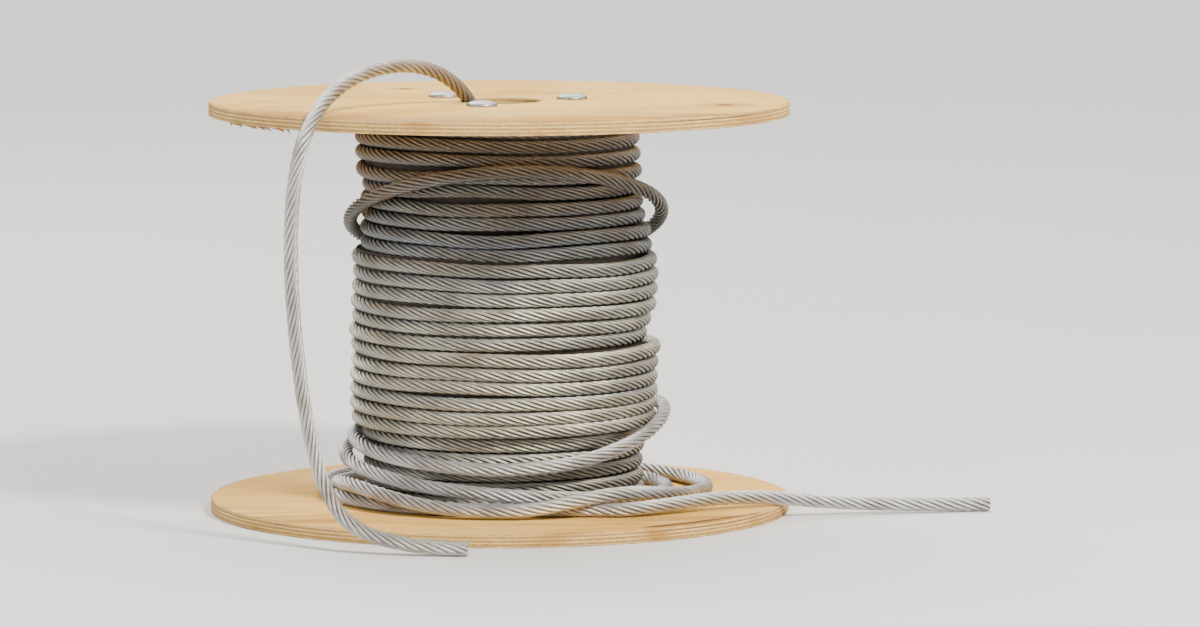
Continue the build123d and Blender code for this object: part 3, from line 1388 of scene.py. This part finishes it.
@dataclass
class OuterEnd:
    """The rope's outer end: slack turns round the foot of the winding, then a tail over the rim.

    Each station is an angle in degrees, a radius and a height. Lengths are in millimetres.
    """

    rope: WireRope
    spacing: float = 10.0
    stations: tuple[Point, ...] = (
        (92, 114.0, 73.5), (120, 113.5, 70.0), (150, 113.0, 64.0), (180, 112.8, 58.0),
        (210, 113.5, 52.0), (240, 114.8, 47.0), (270, 116.0, 44.0), (300, 118.5, 48.0),
        (330, 123.0, 62.0), (360, 128.0, 77.0), (390, 130.0, 81.0), (420, 129.5, 78.0),
        (450, 127.5, 70.0), (480, 125.5, 61.0), (510, 122.5, 52.5), (540, 119.8, 45.0),
        (570, 120.5, 38.0), (600, 123.0, 31.5), (630, 126.0, 26.5), (660, 128.0, 22.0),
        (690, 129.5, 17.5), (720, 130.0, 15.6), (750, 128.5, 15.6), (780, 126.0, 15.6),
        (810, 124.0, 15.6), (840, 123.5, 15.6), (870, 124.0, 16.0), (900, 126.0, 20.0),
        (915, 128.0, 25.6), (930, 132.5, 27.6), (945, 136.0, 25.6), (960, 139.5, 20.5),
        (975, 142.5, 17.0), (990, 145.0, 16.2), (1000, 146.5, 17.5), (1008, 147.5, 21.0),
        (1016, 149.5, 25.4), (1024, 151.5, 27.4), (1032, 154.0, 27.2), (1042, 157.0, 24.0),
        (1054, 159.5, 20.0), (1080, 161.0, 17.0), (1110, 159.5, 15.6), (1140, 156.5, 15.6),
        (1170, 153.0, 15.6), (1200, 150.5, 15.6), (1233, 146.5, 15.6), (1245, 140.5, 15.6),
        (1260, 136.5, 15.6), (1275, 133.5, 15.6), (1290, 131.0, 15.6), (1320, 128.5, 15.6),
        (1350, 129.0, 15.6),
    )
    crossing: tuple[Point, ...] = ((46.0, -127.5, 15.6), (80.0, -129.0, 15.6))
    route: tuple[Point, ...] = (
        (101.0, -131.5, 15.8),
        (184.0, -77.0, 20.5),
        (286.0, -36.0, 5.8),
        (380.0, -27.0, 5.8),
    )

    def _coil_points(self) -> list[Point]:
        """Work out control points of the slack turns, evenly spaced in angle.

        Returns:
            The points, in metres.
        """
        angles, radii, heights = (np.array(column, dtype=float) for column in zip(*self.stations))
        spread = 1 / math.cos(math.radians(self.spacing / 2))
        points = []
        for angle in np.arange(angles[0], angles[-1] + 1.0, self.spacing):
            radius = np.interp(angle, angles, radii) * spread
            points.append(polar(radius * MM, angle, np.interp(angle, angles, heights) * MM))
        return points

    def build(self, material: bpy.types.Material) -> None:
        """Args:
            material: The rope's finish.
        """
        points = self._coil_points() + in_metres((*self.crossing, *self.route))
        line = smooth_line("outer_end_line", points)
        piece = self.rope.laid("rope_outer_end_stranded", line, material)
        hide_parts("rope_slack_turns", "rope_outer_end")
        log.info("outer end is %.3f m long", length_of(line))


@dataclass
class Studio:
    """Pale floor, soft lights and the camera at the photograph's viewing angle."""

    distance: float = 5.05
    eye_height: float = 0.69
    lens: float = 196.0
    aim: Point = (0.078, 0.0, 0.152)
    lit_point: Point = (0.0, 0.0, 0.16)
    floor_radius: float = 40.0
    clip_end: float = 120.0
    sky: Colour = (0.80, 0.84, 0.90)
    sky_strength: float = 0.42
    # Each light's name, place, size in metres, watts and colour
    lights: tuple[tuple[str, Point, float, float, Colour], ...] = (
        ("key", (1.7, -2.1, 2.7), 0.7, 210.0, (1.0, 0.96, 0.89)),
        ("fill", (-2.6, -1.8, 1.6), 2.2, 36.0, (0.90, 0.95, 1.0)),
        ("back", (-1.2, 2.4, 2.3), 1.6, 40.0, (1.0, 1.0, 1.0)),
        ("ceiling", (0.0, 6.0, 9.0), 14.0, 1700.0, (1.0, 0.99, 0.97)),
    )

    def _floor(self) -> None:
        """Lay the floor, wide enough that no view sees its rim."""
        shape = bmesh.new()
        bmesh.ops.create_circle(shape, cap_ends=True, segments=64, radius=self.floor_radius)
        mesh = bpy.data.meshes.new("floor")
        shape.to_mesh(mesh)
        shape.free()
        mesh.materials.append(FloorFinish().material())
        linked("floor", mesh)

    @staticmethod
    def _aimed(name: str, data: bpy.types.ID, place: Point, target: Point) -> bpy.types.Object:
        """Stand a light or a camera somewhere and turn it to a target.

        Args:
            name: Its name.
            data: The light or the camera.
            place: Where it stands.
            target: What it faces.

        Returns:
            The light or the camera as an object.
        """
        made = linked(name, data)
        made.location = place
        made.rotation_euler = (Vector(target) - Vector(place)).to_track_quat("-Z", "Y").to_euler()
        return made

    def _light(self, name: str, place: Point, size: float, watts: float, colour: Colour) -> None:
        """Hang a soft round light that faces the drum.

        Args:
            name: The light's name.
            place: Where it hangs.
            size: Its width, in metres.
            watts: Its power.
            colour: Its colour.
        """
        data = bpy.data.lights.new(name, "AREA")
        data.shape = "DISK"
        data.size = size
        data.energy = watts
        data.color = colour
        self._aimed(name, data, place, self.lit_point)

    def _camera(self) -> None:
        """Stand the camera in front of the drum."""
        data = bpy.data.cameras.new("camera")
        data.lens = self.lens
        data.sensor_width = 36.0
        data.clip_end = self.clip_end
        place = (0.0, -self.distance, self.eye_height)
        bpy.context.scene.camera = self._aimed("camera", data, place, self.aim)

    def build(self) -> None:
        """Set up the floor, the lights, the world and the camera."""
        self._floor()
        for light in self.lights:
            self._light(*light)
        world = bpy.data.worlds.new("studio")
        world.use_nodes = True
        background = world.node_tree.nodes["Background"]
        background.inputs[0].default_value = (*self.sky, 1.0)
        background.inputs[1].default_value = self.sky_strength
        bpy.context.scene.world = world
        self._camera()


def main() -> None:
    """Build the drum's looks in order."""
    logging.basicConfig(level=logging.INFO, format="%(message)s")
    Studio().build()
    rope = WireRope()
    slack = RopeFinish("rope_slack_wire", Film.SLACK)
    hanging = RopeFinish("rope_hanging_wire", Film.HANGING, brown_near=((-0.03, -0.02, 0.325), 0.09))
    OuterEnd(rope).build(slack.material())
    InnerEnd(rope).build(hanging.material())
    wound = RopeFinish(
        "rope_wound_wire",
        Film.WOUND_PAINTED_SUNLIT,
        turn_tone=0.42,
        # Painted shade on the undersides of the wound turns
        underside=0.85,
        low=0.01,
        high=0.308,
        # Painted sunlight on the lower turns and painted shadow of the top flange on the upper turns
        painted_sun_and_flange_shadow=(
            (0.0, (1.0, 0.98, 0.92)), (0.30, (1.0, 0.97, 0.86)), (0.57, (0.84, 0.84, 0.80)),
            (0.68, (0.34, 0.39, 0.46)), (0.82, (0.285, 0.25, 0.205)), (1.0, (0.24, 0.18, 0.125)),
        ),
    ).material()
    Winding(rope).build(wound, CoreShadeFinish().material())
    LooseTurn(rope).build(wound)
    crack = Crack((0.1535, -0.1415), 42.6, 0.070)
    Flange("flange_bottom", 4.3, knots=(Knot(0.176, -0.010, 0.006, 0.015),), crack=crack).dress()
    top_knots = (Knot(0.173, -0.048, 0.009, 0.013), Knot(-0.075, 0.128, 0.006, 0.010))
    plywood = Flange("flange_top", 1.9, knots=top_knots).dress()
    Splinters().build(plywood)
    dress_node("barrel", FibreFinish().material())
    nuts = ZincFinish("nut_zinc", 0.0).material()
    for number in (1, 2, 3):
        dress_node(f"tie_nut_{number}", nuts, 0.4 * MM)
    TieBolts().build()


if __name__ == "__main__":
    main()
